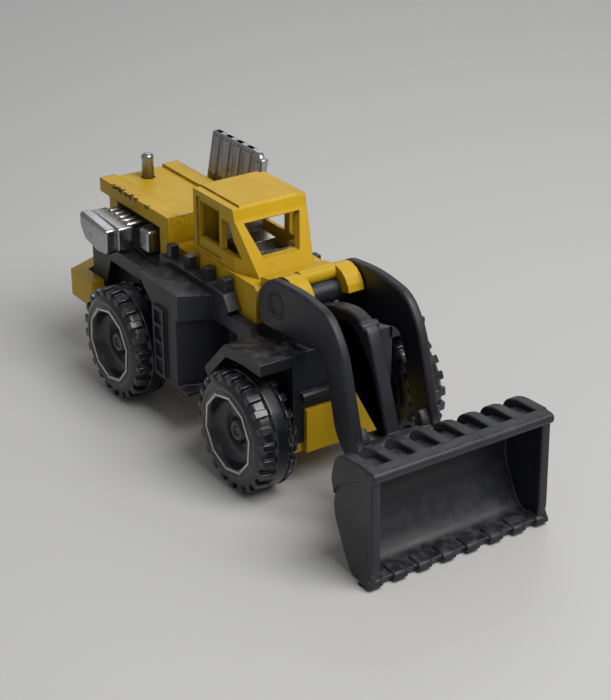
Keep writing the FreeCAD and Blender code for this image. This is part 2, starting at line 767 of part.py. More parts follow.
def make_bucket():
    """Black plastic bucket with cheeks, a thick top lip, back ribs and a toothed edge."""
    body = new_body("bucket")
    lip = tied("bucket_lip")
    half = tied("bucket_half")
    side_pad(body, [
        (38.2, 0.0), (39.0, 2.8), (38.7, "bucket_top"), (33.4, 14.4), (31.6, 11.2),
        (30.7, 7.4), (33.6, 2.0), (35.0, 0.0)], half)
    side_cut(body, [
        (38.6, 1.1), (41.0, 1.1), (41.0, 13.4), (34.4, 13.2), (32.7, 10.8), (31.9, 7.4),
        (34.4, 2.6), (35.6, 1.1)], half - "bucket_wall")
    # thickened lip along the top front edge, a little wider than the cheeks
    side_pad(body, [(37.6, 14.0), (lip - 0.4, 13.7), (lip, 14.6), (lip - 0.3, 15.6),
                    (37.4, 15.6)], half + 0.25)
    # ribs that run up the back and over the top edge, and a tooth below each
    count = 8
    span = tied("tooth_pitch") * (count - 1)
    first = span * 0.5
    rib = right_pad(body, first - 0.65, first + 0.65, [
        (37.6, 14.2), (37.6, 15.9), (33.6, 15.8), (31.9, 14.6), (30.9, 11.4), (32.4, 11.2)])
    repeat(body, rib, "Y_Axis", span, count)
    tooth = right_pad(body, first - 0.8, first + 0.8, [
        (37.4, 0.0), (38.8, 0.2), (lip - 0.1, 0.7), (38.9, 1.25), (37.4, 1.2)])
    repeat(body, tooth, "Y_Axis", span, count)
    # ears for the arm trunnions
    near = tied("arm_outer") + 0.15
    far = tied("arm_outer") + 1.4
    flank_pads(body, near, far, [
        (31.4, 4.6), (31.4, 9.6), (28.4, 8.8), (26.8, 8.5), (26.0, 7.0), (26.6, 5.4),
        (28.4, 5.0)])
    end_hole(body, "tilt_x", "tilt_z", tied("tilt_radius") + "axle_clearance", near, far)
    # rounded shoe at the foot of each cheek
    flank_pads(body, half - 0.1, half + 0.25, [
        (37.0, 0.0), (38.6, 0.0), (39.2, 0.7), (39.2, 1.7), (38.4, 2.6), (37.0, 1.6)])
    return body


# ---- assembly ----------------------------------------------------------------------------

subparts = [
    make_body_shell(),
    make_mid_frame(),
    make_base_plate(),
    make_engine_insert(),
    make_cab_interior(),
    make_loader_arms(),
    make_pivot_shaft(),
    make_bucket(),
    make_axle("front_axle_wire", "front_axle"),
    make_axle("rear_axle_wire", "rear_axle"),
    make_rivet("rear_rivet", RIVETS[0]),
    make_rivet("front_rivet", RIVETS[1]),
]
for end, axle in (("front", "front_axle"), ("rear", "rear_axle")):
    for hand, side in (("left", 1), ("right", -1)):
        subparts.append(make_wheel("wheel_%s_%s" % (end, hand), axle, side))
        subparts.append(make_rim_ring("rim_ring_%s_%s" % (end, hand), axle, side))

doc.recompute()
for thing in doc.Objects:
    if "Invalid" in thing.State or "Error" in thing.State:
        raise RuntimeError("%s failed: %s" % (thing.Label, thing.State))
for body in subparts:
    if body.Shape.isNull() or not body.Shape.isValid():
        raise RuntimeError("%s has no valid shape" % body.Label)

os.makedirs("parts", exist_ok=True)
for body in subparts:
    body.Shape.exportStep("parts/%s.step" % body.Label)
    box = body.Shape.BoundBox
    print("%-22s solids %d volume %8.2f  X %6.2f %6.2f  Y %6.2f %6.2f  Z %6.2f %6.2f" % (
        body.Label, len(body.Shape.Solids), body.Shape.Volume,
        box.XMin, box.XMax, box.YMin, box.YMax, box.ZMin, box.ZMax))
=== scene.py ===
# %% [markdown]
# # A small die-cast front loader
# This lesson dresses a finished mechanical model of a toy wheel loader. The mechanical model gives every place and
# size; here we add soft moulded edges, tread, paint, plating and the wear of a toy that has been played with.
# It could be rebuilt from nothing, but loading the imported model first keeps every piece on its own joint.

# %% Load the mechanical model
import math

import bpy
import numpy as np
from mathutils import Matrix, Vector
from mathutils.geometry import tessellate_polygon


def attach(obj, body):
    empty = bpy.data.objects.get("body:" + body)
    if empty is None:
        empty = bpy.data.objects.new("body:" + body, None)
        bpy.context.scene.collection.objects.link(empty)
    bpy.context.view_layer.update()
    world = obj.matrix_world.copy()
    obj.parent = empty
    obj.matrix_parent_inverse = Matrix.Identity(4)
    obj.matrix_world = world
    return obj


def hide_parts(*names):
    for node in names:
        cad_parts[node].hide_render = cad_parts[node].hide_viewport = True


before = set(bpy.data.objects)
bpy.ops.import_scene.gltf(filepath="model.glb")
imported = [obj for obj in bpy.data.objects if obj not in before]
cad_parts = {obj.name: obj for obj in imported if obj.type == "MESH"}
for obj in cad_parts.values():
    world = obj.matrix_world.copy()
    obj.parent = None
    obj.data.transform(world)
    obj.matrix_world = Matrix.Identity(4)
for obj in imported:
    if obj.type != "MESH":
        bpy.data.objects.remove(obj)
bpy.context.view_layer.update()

MM = 0.001

# %% [markdown]
# ## Camera
# A toy this small is seen from close by, so the perspective is strong and the lens has to be right before anything
# else is judged. A camera can be aimed with a tracking constraint, but a plain rotation worked out from the
# direction of view stays put in every other view.

# %% Camera
camera_data = bpy.data.cameras.new("Camera")
camera = bpy.data.objects.new("Camera", camera_data)
bpy.context.scene.collection.objects.link(camera)
bpy.context.scene.camera = camera
turn = math.radians(34.159)
dip = math.radians(26.009)
looks = Vector((-math.cos(turn) * math.cos(dip), math.sin(turn) * math.cos(dip), -math.sin(dip)))
camera.location = Vector((175.37, -114.88, 113.97)) * MM
camera.rotation_mode = "QUATERNION"
camera.rotation_quaternion = looks.to_track_quat("-Z", "Y")
camera_data.lens = 90.36
camera_data.sensor_width = 36
camera_data.clip_start = 0.01
camera_data.clip_end = 10
print("camera is", round(camera.location.length / MM), "mm from the middle of the loader")

# %% [markdown]
# ## Floor and light
# Pale floor, a large soft lamp high on the loader's front side, a weaker one behind and an even grey surround. One
# hard lamp would draw black shadows; broad lamps give the long soft glints that plating and glossy plastic need.

# %% Floor
def plain_material(name, colour, roughness):
    material = bpy.data.materials.new(name)
    material.use_nodes = True
    shader = material.node_tree.nodes["Principled BSDF"]
    shader.inputs["Base Color"].default_value = (*colour, 1)
    shader.inputs["Roughness"].default_value = roughness
    return material


floor_mesh = bpy.data.meshes.new("floor")
floor_mesh.from_pydata([(-3, -3, 0), (3, -3, 0), (3, 3, 0), (-3, 3, 0)], [], [(0, 1, 2, 3)])
floor = bpy.data.objects.new("floor", floor_mesh)
bpy.context.scene.collection.objects.link(floor)
floor_mesh.materials.append(plain_material("floor_paint", (0.52, 0.52, 0.515), 0.5))
print("floor laid at height", floor.location.z)


# %% Lamps and surround
def soft_lamp(name, place, size, power, warmth=(1, 1, 1)):
    """A square lamp at a place in mm that faces the loader's middle."""
    data = bpy.data.lights.new(name, "AREA")
    data.shape = "SQUARE"
    data.size = size * MM
    data.energy = power
    data.color = warmth
    lamp = bpy.data.objects.new(name, data)
    bpy.context.scene.collection.objects.link(lamp)
    lamp.location = Vector(place) * MM
    lamp.rotation_mode = "QUATERNION"
    lamp.rotation_quaternion = (Vector((0, 0, 12 * MM)) - lamp.location).to_track_quat("-Z", "Y")
    return lamp


soft_lamp("key_lamp", (250, 90, 400), 300, 2.25, (1.0, 0.985, 0.96))
soft_lamp("rim_lamp", (-330, 260, 300), 240, 0.22, (0.97, 0.985, 1.0))
surround = bpy.data.worlds.new("Surround")
bpy.context.scene.world = surround
surround.use_nodes = True
surround.node_tree.nodes["Background"].inputs["Color"].default_value = (0.80, 0.81, 0.83, 1)
surround.node_tree.nodes["Background"].inputs["Strength"].default_value = 0.32
bpy.context.scene.view_settings.view_transform = "Standard"

# %% [markdown]
# ## Shapes from numbers
# Moulded and cast parts are mostly flat plates with softened rims, turned shapes, and bent rods. Each kind is one
# short numpy function that returns points and faces, in mm. A modifier stack could do the same, but a formula keeps
# every rim radius exact and cheap.

# %% Outlines
def rounded(corners, radius=0.3, steps=4):
    """Closed outline with soft corners. Each corner P becomes the curve (1-t)^2 A + 2t(1-t) P + t^2 B, where A and
    B lie on its two edges, one radius from P, or less where an edge is short."""
    p = np.array([c[:2] for c in corners], float)
    r = np.array([c[2] if len(c) > 2 else radius for c in corners], float)
    back = np.roll(p, 1, 0) - p
    ahead = np.roll(p, -1, 0) - p
    back_length = np.linalg.norm(back, axis=1)
    ahead_length = np.linalg.norm(ahead, axis=1)
    reach = np.minimum(r, 0.45 * np.minimum(back_length, ahead_length))[:, None]
    a = (p + back / back_length[:, None] * reach)[:, None]
    b = (p + ahead / ahead_length[:, None] * reach)[:, None]
    t = np.linspace(0, 1, steps)[None, :, None]
    curve = (1 - t) ** 2 * a + 2 * t * (1 - t) * p[:, None] + t ** 2 * b
    return curve.reshape(-1, 2)


def disc(u, v, radius, steps=28):
    """Circle as an outline: centre plus radius times (cos, sin)."""
    turn = np.arange(steps) * 2 * math.pi / steps
    return np.stack([u + radius * np.cos(turn), v + radius * np.sin(turn)], 1)


def turned_left(loop, left=True):
    """The outline run anticlockwise, found from its signed area, or clockwise for a hole."""
    u, v = loop.T
    area = np.sum(u * np.roll(v, -1) - v * np.roll(u, -1))
    return loop if (area > 0) == left else loop[::-1]


def inward(loop):
    """How each point moves when all edges step one unit inward: the two edge normals' sum over 1 + their product."""
    ahead = np.roll(loop, -1, 0) - loop
    ahead /= np.maximum(np.linalg.norm(ahead, axis=1), 1e-9)[:, None]
    normal = np.stack([-ahead[:, 1], ahead[:, 0]], 1)
    before = np.roll(normal, 1, 0)
    return (normal + before) / np.maximum(1 + np.sum(normal * before, 1), 0.3)[:, None]


print("a rounded square has", len(rounded([(0, 0), (4, 0), (4, 4), (0, 4)])), "points")

# %% Slabs, turned shapes and rods
PLANES = {"side": (0, 2, 1), "plan": (0, 1, 2), "front": (1, 2, 0)}


def volume(points, faces):
    """Signed volume: each face is fanned from its first corner and the triple products are added up."""
    total = 0.0
    for size in {len(f) for f in faces}:
        corners = points[np.array([f for f in faces if len(f) == size])]
        middle = corners[:, 1:-1]
        total += np.sum(corners[:, :1] * np.cross(middle, corners[:, 2:]))
    return total / 6


def facing_out(points, faces):
    """The shell with its faces pointing outward, turned over where its signed volume is negative."""
    faces = [tuple(f) for f in faces]
    return (points, faces if volume(points, faces) > 0 else [f[::-1] for f in faces])


def slab(outline, low, high, soft=0.18, holes=(), plane="side", steps=4):
    """Plate between two levels with a softened rim. At angle a from 0 to 90 degrees the rim stands
    soft (1 - sin a) inside the outline and soft (1 - cos a) above the lower face, and the same below the upper."""
    loops = [turned_left(np.asarray(outline, float))]
    loops += [turned_left(np.asarray(h, float), False) for h in holes]
    soft = min(soft, 0.45 * abs(high - low))
    angle = np.linspace(0, math.pi / 2, steps)
    step_in = soft * (1 - np.sin(angle))
    rise = soft * (1 - np.cos(angle))
    step_in = np.concatenate([step_in, step_in[::-1]])
    level = np.concatenate([low + rise, high - rise[::-1]])
    rows = len(level)
    points, faces, first = [], [], 0
    lids = []
    for loop in loops:
        count = len(loop)
        grid = loop[None] + step_in[:, None, None] * inward(loop)[None]
        height = np.broadcast_to(level[:, None, None], (rows, count, 1))
        points.append(np.concatenate([grid, height], 2).reshape(-1, 3))
        index = first + np.arange(rows * count).reshape(rows, count)
        beside = np.roll(index, -1, 1)
        faces += np.stack([index[:-1], beside[:-1], beside[1:], index[1:]], -1).reshape(-1, 4).tolist()
        lids.append(index)
        first += rows * count
    points = np.concatenate(points)
    if holes:
        flat = [[Vector((*points[i][:2], 0)) for i in ids[0]] for ids in lids]
        fill = np.array(tessellate_polygon(flat))
        low_ids = np.concatenate([ids[0] for ids in lids])
        high_ids = np.concatenate([ids[-1] for ids in lids])
        a, b, c = (points[low_ids[fill[:, k]]][:, :2] for k in range(3))
        bend = (b - a)[:, 0] * (c - a)[:, 1] - (b - a)[:, 1] * (c - a)[:, 0]
        fill = fill[np.abs(bend) > 1e-9]
        bend = bend[np.abs(bend) > 1e-9]
        fill = np.where(bend[:, None] > 0, fill, fill[:, ::-1])
        faces += low_ids[fill[:, ::-1]].tolist() + high_ids[fill].tolist()
    else:
        faces += [lids[0][0][::-1].tolist(), lids[0][-1].tolist()]
    order = PLANES[plane]
    placed = np.empty_like(points)
    placed[:, order] = points
    return facing_out(placed, faces)


def lathe(section, centre, axis="y", steps=72):
    """Turned shape. A section point (along, radius) becomes centre + along on the axis + radius (cos, sin) across.
    Points of radius nought are single poles."""
    section = np.array(section, float)
    turn = np.arange(steps) * 2 * math.pi / steps
    across = section[:, 1:] * np.cos(turn)[None]
    up = section[:, 1:] * np.sin(turn)[None]
    along = np.broadcast_to(section[:, :1], up.shape)
    grid = {"y": (across, along, up), "x": (along, across, up), "z": (across, up, along)}[axis]
    points = np.stack(grid, -1).reshape(-1, 3) + np.array(centre, float)
    index = np.arange(len(points)).reshape(len(section), steps)
    index = np.where(section[:, 1:] < 1e-9, index[:, :1], index)
    beside = np.roll(index, -1, 1)
    quads = np.stack([index[:-1], beside[:-1], beside[1:], index[1:]], -1).reshape(-1, 4)
    faces = [list(dict.fromkeys(q)) for q in quads.tolist()]
    faces = [f for f in faces if len(f) > 2]
    used, packed = np.unique(np.concatenate(faces), return_inverse=True)
    faces = [f.tolist() for f in np.split(packed, np.cumsum([len(f) for f in faces])[:-1])]
    return facing_out(points[used], faces)


def rod(path, radius, steps=14):
    """Round bar along a path. Each ring is the path's point + radius (cos N + sin B), with N and B across its
    direction; the first and last rings shrink to a pole like a dome."""
    path = np.array(path, float)
    ahead = np.gradient(path, axis=0)
    ahead /= np.linalg.norm(ahead, axis=1)[:, None]
    spread = np.ptp(path, axis=0)
    helper = np.eye(3)[int(np.argmin(spread + np.abs(ahead).max(0)))]
    n = np.cross(ahead, helper)
    n /= np.linalg.norm(n, axis=1)[:, None]
    b = np.cross(ahead, n)
    size = np.broadcast_to(np.asarray(radius, float), (len(path),)).copy()
    dome = np.linspace(0, math.pi / 2, 5)[:-1]
    out = np.cos(dome)
    start = path[0] - ahead[0] * (size[0] * out)[:, None]
    end = path[-1] + ahead[-1] * (size[-1] * out[::-1])[:, None]
    path = np.concatenate([start, path, end])
    n = np.concatenate([np.repeat(n[:1], 4, 0), n, np.repeat(n[-1:], 4, 0)])
    b = np.concatenate([np.repeat(b[:1], 4, 0), b, np.repeat(b[-1:], 4, 0)])
    size = np.concatenate([size[0] * np.sin(dome), size, size[-1] * np.sin(dome[::-1])])
    size[[0, -1]] = 1e-3
    turn = np.arange(steps) * 2 * math.pi / steps
    ring = np.cos(turn)[None, :, None] * n[:, None] + np.sin(turn)[None, :, None] * b[:, None]
    points = (path[:, None] + size[:, None, None] * ring).reshape(-1, 3)
    index = np.arange(len(points)).reshape(len(path), steps)
    beside = np.roll(index, -1, 1)
    faces = np.stack([index[:-1], beside[:-1], beside[1:], index[1:]], -1).reshape(-1, 4).tolist()
    faces += [index[0][::-1].tolist(), index[-1].tolist()]
    return facing_out(points, faces)


def changed(shell, formula):
    """The same shell with its points moved by a formula on whole arrays."""
    return facing_out(formula(shell[0].copy()), shell[1])


def mirrored(shell):
    """The shell's twin on the other side of the middle: y becomes -y."""
    return facing_out(shell[0] * np.array([1, -1, 1]), shell[1])


def both(*shells):
    return list(shells) + [mirrored(s) for s in shells]


print("a plate has", len(slab(rounded([(0, 0), (9, 0), (9, 5), (0, 5)]), 0, 1)[1]), "faces")

# %% Putting a piece together
def finished(name, shells, material, body, nodes=()):
    """One object from several shells, shaded smooth with normals weighted by face size."""
    starts = np.cumsum([0] + [len(s[0]) for s in shells[:-1]])
    points = np.concatenate([s[0] for s in shells]) * MM
    faces = [[v + int(start) for v in f] for start, s in zip(starts, shells) for f in s[1]]
    mesh = bpy.data.meshes.new(name)
    mesh.from_pydata(points.tolist(), [], faces)
    mesh.polygons.foreach_set("use_smooth", np.ones(len(mesh.polygons), bool))
    mesh.materials.append(material)
    mesh.validate()
    piece = bpy.data.objects.new(name, mesh)
    bpy.context.scene.collection.objects.link(piece)
    weighted = piece.modifiers.new("even_shading", "WEIGHTED_NORMAL")
    weighted.weight = 60
    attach(piece, body)
    if nodes:
        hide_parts(*nodes)
    print(f"{name}: {len(points)} points, {len(faces)} faces")
    return piece

# %% [markdown]
# ## Shared effects
# Every finish here has softened edges, some wear on those edges, dirt and painted shade in its corners and a fine
# grain. Each effect is a small node group that gives back masks, values or a normal, so the same effect can serve
# paint, plastic and plating with its own amounts. Painting such masks by hand would fix them to one mesh.

# %% Node helpers
def join(tree, value, socket):
    """Feeds a socket with another socket, or sets it to a plain value."""
    if isinstance(value, bpy.types.NodeSocket):
        tree.links.new(value, socket)
    elif isinstance(value, tuple) and len(value) == 3 and len(socket.default_value) == 4:
        socket.default_value = (*value, 1)
    else:
        socket.default_value = value


def add(tree, kind, feeds, **settings):
    """A new node with its settings and its fed inputs."""
    node = tree.nodes.new(kind)
    for label, value in settings.items():
        setattr(node, label, value)
    for label, value in feeds.items():
        join(tree, value, node.inputs[label])
    return node


def sum_of(tree, kind, a, b=0.0):
    return add(tree, "ShaderNodeMath", {0: a, 1: b}, operation=kind, use_clamp=True).outputs[0]


def ramp(tree, value, low, high, start=0.0, end=1.0):
    """Value moved from the range low to high into start to end, and kept inside it."""
    feeds = {"Value": value, "From Min": low, "From Max": high, "To Min": start, "To Max": end}
    return add(tree, "ShaderNodeMapRange", feeds, clamp=True).outputs[0]


def blend(tree, amount, a, b):
    return add(tree, "ShaderNodeMix", {0: amount, 6: a, 7: b}, data_type="RGBA").outputs[2]


def noise(tree, vector, scale, detail=3.0, roughness=0.55):
    feeds = {"Vector": vector, "Scale": scale, "Detail": detail, "Roughness": roughness}
    return add(tree, "ShaderNodeTexNoise", feeds).outputs["Fac"]


def new_group(name, inputs, outputs):
    """An empty node group with named float, colour or vector sockets."""
    group = bpy.data.node_groups.new(name, "ShaderNodeTree")
    kinds = {"value": "NodeSocketFloat", "vector": "NodeSocketVector", "colour": "NodeSocketColor"}
    for label, (kind, start) in inputs.items():
        made = group.interface.new_socket(label, in_out="INPUT", socket_type=kinds[kind])
        if start is not None:
            made.default_value = start
    for label, kind in outputs.items():
        group.interface.new_socket(label, in_out="OUTPUT", socket_type=kinds[kind])
    return group, group.nodes.new("NodeGroupInput").outputs, group.nodes.new("NodeGroupOutput").inputs


def use(tree, group, **feeds):
    return add(tree, "ShaderNodeGroup", {k.replace("_", " "): v for k, v in feeds.items()},
               node_tree=group).outputs


print("helpers ready")

# %% Softened edges
# The bevel node looks round each shading point and gives the normal that a small radius would have. How far that
# normal leans from the true one says how near an edge is.
edges, given, out = new_group("softened_edges", {"Radius": ("value", 0.00015)},
                              {"Normal": "vector", "Edge": "value"})
round_normal = add(edges, "ShaderNodeBevel", {"Radius": given["Radius"]}, samples=6).outputs[0]
flat_normal = edges.nodes.new("ShaderNodeNewGeometry").outputs["True Normal"]
lean = add(edges, "ShaderNodeVectorMath", {0: round_normal, 1: flat_normal},
           operation="DOT_PRODUCT").outputs["Value"]
join(edges, round_normal, out["Normal"])
join(edges, ramp(edges, lean, 0.985, 0.80), out["Edge"])
print(edges.name, "gives", [s.name for s in out if s.name])

# %% Chipped edges, dirt with painted shade, and grain
chips, given, out = new_group(
    "chipped_edges", {"Edge": ("value", 0.0), "Vector": ("vector", None), "Size": ("value", 900.0),
                      "Amount": ("value", 0.5)}, {"Chip": "value"})
coarse = noise(chips, given["Vector"], given["Size"], 4.0, 0.6)
patch = noise(chips, given["Vector"], 160.0, 2.0)
reach = ramp(chips, patch, 0.35, 0.65, 0.0, 0.35)
level = add(chips, "ShaderNodeMath", {0: coarse, 1: reach}, operation="ADD").outputs[0]
bar = add(chips, "ShaderNodeMath", {0: 1.12, 1: given["Amount"]}, operation="SUBTRACT").outputs[0]
over = add(chips, "ShaderNodeMath", {0: level, 1: bar}, operation="SUBTRACT").outputs[0]
join(chips, sum_of(chips, "MULTIPLY", given["Edge"], ramp(chips, over, 0.0, 0.05)), out["Chip"])

corners, given, out = new_group(
    "dirt_and_shade_in_corners", {"Vector": ("vector", None), "Reach": ("value", 0.0012)},
    {"Dirt_and_shade": "value", "Dust": "value"})
# Painted shade with dirt: the mask rises where ambient occlusion finds nearby surfaces, so corners and creases darken,
# broken up by speckle noise.
open_sky = add(corners, "ShaderNodeAmbientOcclusion", {"Distance": given["Reach"]}, samples=6).outputs["AO"]
speck = noise(corners, given["Vector"], 700.0, 4.0)
join(corners, sum_of(corners, "MULTIPLY", ramp(corners, open_sky, 0.85, 0.35), ramp(corners, speck, 0.3, 0.6)),
     out["Dirt_and_shade"])
facing = corners.nodes.new("ShaderNodeNewGeometry").outputs["True Normal"]
upward = add(corners, "ShaderNodeSeparateXYZ", {0: facing}).outputs["Z"]
film = sum_of(corners, "MULTIPLY", ramp(corners, upward, 0.2, 1.0), ramp(corners, speck, 0.42, 0.75))
join(corners, film, out["Dust"])

grain, given, out = new_group(
    "fine_grain", {"Vector": ("vector", None), "Size": ("value", 2500.0)},
    {"Height": "value", "Cloud": "value", "Scratch": "value"})
join(grain, noise(grain, given["Vector"], given["Size"], 3.0), out["Height"])
join(grain, noise(grain, given["Vector"], 140.0, 4.0), out["Cloud"])
stretch = add(grain, "ShaderNodeMapping", {"Vector": given["Vector"], "Rotation": (0.4, 0.7, 0.5),
                                           "Scale": (1.0, 14.0, 9.0)}).outputs[0]
lines = noise(grain, stretch, 420.0, 2.0, 0.7)
join(grain, ramp(grain, lines, 0.66, 0.74), out["Scratch"])
print("groups:", [g.name for g in bpy.data.node_groups])

# %% [markdown]
# ## Finishes
# Each finish keeps its own shader, and the shared groups only feed it. Yellow enamel on a zinc casting chips dark at
# its edges; moulded plastics scuff grey; vacuum plating stays bright but rubs through to a warm grey at its ribs.

# %% Starting a finish
def new_finish(name, **plain):
    """A material with its shader's plain values set, and the object coordinates that its patterns follow."""
    material = bpy.data.materials.new(name)
    material.use_nodes = True
    tree = material.node_tree
    shader = tree.nodes["Principled BSDF"]
    for label, value in plain.items():
        shader.inputs[label.replace("_", " ")].default_value = value
    here = tree.nodes.new("ShaderNodeTexCoord").outputs["Object"]
    return material, tree, shader, here


def spot(tree, here, place, radius):
    """Mask that falls from one at a place in mm to nought at a radius in mm."""
    away = add(tree, "ShaderNodeVectorMath", {0: here, 1: tuple(v * MM for v in place)},
               operation="DISTANCE").outputs["Value"]
    return ramp(tree, away, radius * MM, radius * 0.25 * MM)


def bump(tree, height, strength, distance, normal):
    feeds = {"Height": height, "Strength": strength, "Distance": distance, "Normal": normal}
    return add(tree, "ShaderNodeBump", feeds).outputs[0]


def yellow_enamel(name, chip_amount, worn_spots=(), bites=(), radius=0.00016):
    """Enamel: warm yellow that clouds slightly, browner in its corners from dirt and painted shade, chipped to dark
    metal at its edges.
    """
    material, tree, shader, here = new_finish(name, Coat_Weight=0.03, Coat_Roughness=0.3,
                                              Specular_IOR_Level=0.22)
    rim = use(tree, edges, Radius=radius)
    chip = use(tree, chips, Edge=rim["Edge"], Vector=here, Size=900.0, Amount=chip_amount)["Chip"]
    dirt_and_shade = use(tree, corners, Vector=here, Reach=0.0014)
    fine = use(tree, grain, Vector=here, Size=1500.0)
    colour = blend(tree, ramp(tree, fine["Cloud"], 0.35, 0.7), (0.56, 0.350, 0.007), (0.49, 0.300, 0.005))
    # Painted shade with dirt: corners and creases turn dark brown where the occlusion mask is high.
    colour = blend(tree, sum_of(tree, "MULTIPLY", dirt_and_shade["Dirt_and_shade"], 0.75), colour, (0.16, 0.085, 0.012))
    colour = blend(tree, sum_of(tree, "MULTIPLY", dirt_and_shade["Dust"], 0.10), colour, (0.50, 0.42, 0.28))
    rubbed = noise(tree, here, 1300.0, 5.0, 0.7)
    for place, size, depth in worn_spots:
        mask = sum_of(tree, "MULTIPLY", spot(tree, here, place, size),
                      ramp(tree, rubbed, 0.62 - depth, 0.70 - depth))
        colour = blend(tree, mask, colour, (0.20, 0.115, 0.045))
    ragged = noise(tree, here, 1900.0, 5.0, 0.75)
    for place, size in bites:
        near = sum_of(tree, "MULTIPLY", spot(tree, here, place, size), ramp(tree, ragged, 0.40, 0.55))
        chip = sum_of(tree, "MAXIMUM", chip, ramp(tree, near, 0.22, 0.34))
    colour = blend(tree, chip, colour, (0.030, 0.026, 0.022))
    join(tree, colour, shader.inputs["Base Color"])
    rough = add(tree, "ShaderNodeMath", {0: ramp(tree, fine["Cloud"], 0.3, 0.7, 0.34, 0.46), 1: chip},
                operation="ADD", use_clamp=True).outputs[0]
    join(tree, rough, shader.inputs["Roughness"])
    level = sum_of(tree, "SUBTRACT", ramp(tree, fine["Height"], 0.2, 0.8, 0.5, 0.56),
                   sum_of(tree, "MULTIPLY", chip, 0.4))
    join(tree, bump(tree, level, 0.5, 0.00010, rim["Normal"]), shader.inputs["Normal"])
    return material


worn = (((-34.2, 0.0, 26.0), 2.4, 0.10), ((-16.6, -4.6, 26.0), 2.6, 0.12), ((-17.0, 2.0, 26.0), 4.5, 0.06),
        ((8.4, -3.7, 26.2), 2.2, 0.04), ((-24.0, 4.5, 26.0), 3.0, 0.05), ((-27.0, -6.4, 24.6), 2.6, 0.10))
bites = tuple(((x, -6.45, 26.05), size) for x, size in
              ((-33.0, 0.7), (-31.9, 0.9), (-30.6, 1.0), (-29.2, 0.8), (-28.0, 0.9), (-26.6, 0.7), (-23.5, 0.8)))
yellow_paint = yellow_enamel("yellow_paint", 0.60, worn, bites)
yellow_plastic = yellow_enamel("yellow_plastic", 0.42)
print("enamels made")


# %% Black plastics
def black_plastic_finish(name, shade, roughness, scuff, radius=0.00016, coat=0.0, dust_amount=0.35):
    """Moulded black plastic: nearly black, with a painted highlight that lightens every edge, greyer where edges are
    rubbed or dust lies, with fine scratches.
    """
    material, tree, shader, here = new_finish(name, Coat_Weight=coat, Coat_Roughness=0.12,
                                              Specular_IOR_Level=0.5)
    rim = use(tree, edges, Radius=radius)
    chip = use(tree, chips, Edge=rim["Edge"], Vector=here, Size=1400.0, Amount=scuff)["Chip"]
    dirt_and_shade = use(tree, corners, Vector=here, Reach=0.0014)
    fine = use(tree, grain, Vector=here, Size=2200.0)
    dark = tuple(v * 0.75 for v in shade)
    colour = blend(tree, ramp(tree, fine["Cloud"], 0.35, 0.7), shade, dark)
    # Painted highlight: every softened edge is lightened evenly to a grey sheen.
    colour = blend(tree, sum_of(tree, "MULTIPLY", rim["Edge"], 0.45), colour, tuple(v * 2.6 for v in shade))
    colour = blend(tree, sum_of(tree, "MULTIPLY", chip, 0.7), colour, (0.13, 0.13, 0.14))
    colour = blend(tree, sum_of(tree, "MULTIPLY", dirt_and_shade["Dust"], dust_amount), colour, (0.16, 0.155, 0.15))
    colour = blend(tree, sum_of(tree, "MULTIPLY", fine["Scratch"], 0.22), colour, (0.11, 0.11, 0.115))
    join(tree, colour, shader.inputs["Base Color"])
    rough = add(tree, "ShaderNodeMath",
                {0: ramp(tree, fine["Cloud"], 0.3, 0.7, roughness - 0.06, roughness + 0.08),
                 1: sum_of(tree, "MULTIPLY", dirt_and_shade["Dust"], 0.25)}, operation="ADD", use_clamp=True).outputs[0]
    join(tree, rough, shader.inputs["Roughness"])
    level = sum_of(tree, "SUBTRACT", ramp(tree, fine["Height"], 0.2, 0.8, 0.5, 0.58),
                   sum_of(tree, "MULTIPLY", fine["Scratch"], 0.1))
    join(tree, bump(tree, level, 0.5, 0.00010, rim["Normal"]), shader.inputs["Normal"])
    return material


black_plastic = black_plastic_finish("black_plastic", (0.013, 0.014, 0.020), 0.38, 0.42)
loader_black = black_plastic_finish("loader_black", (0.012, 0.013, 0.019), 0.44, 0.52, dust_amount=0.28)
tyre_black = black_plastic_finish("tyre_black", (0.010, 0.0108, 0.015), 0.26, 0.40, 0.00012, 0.25, 0.15)
print("blacks made")


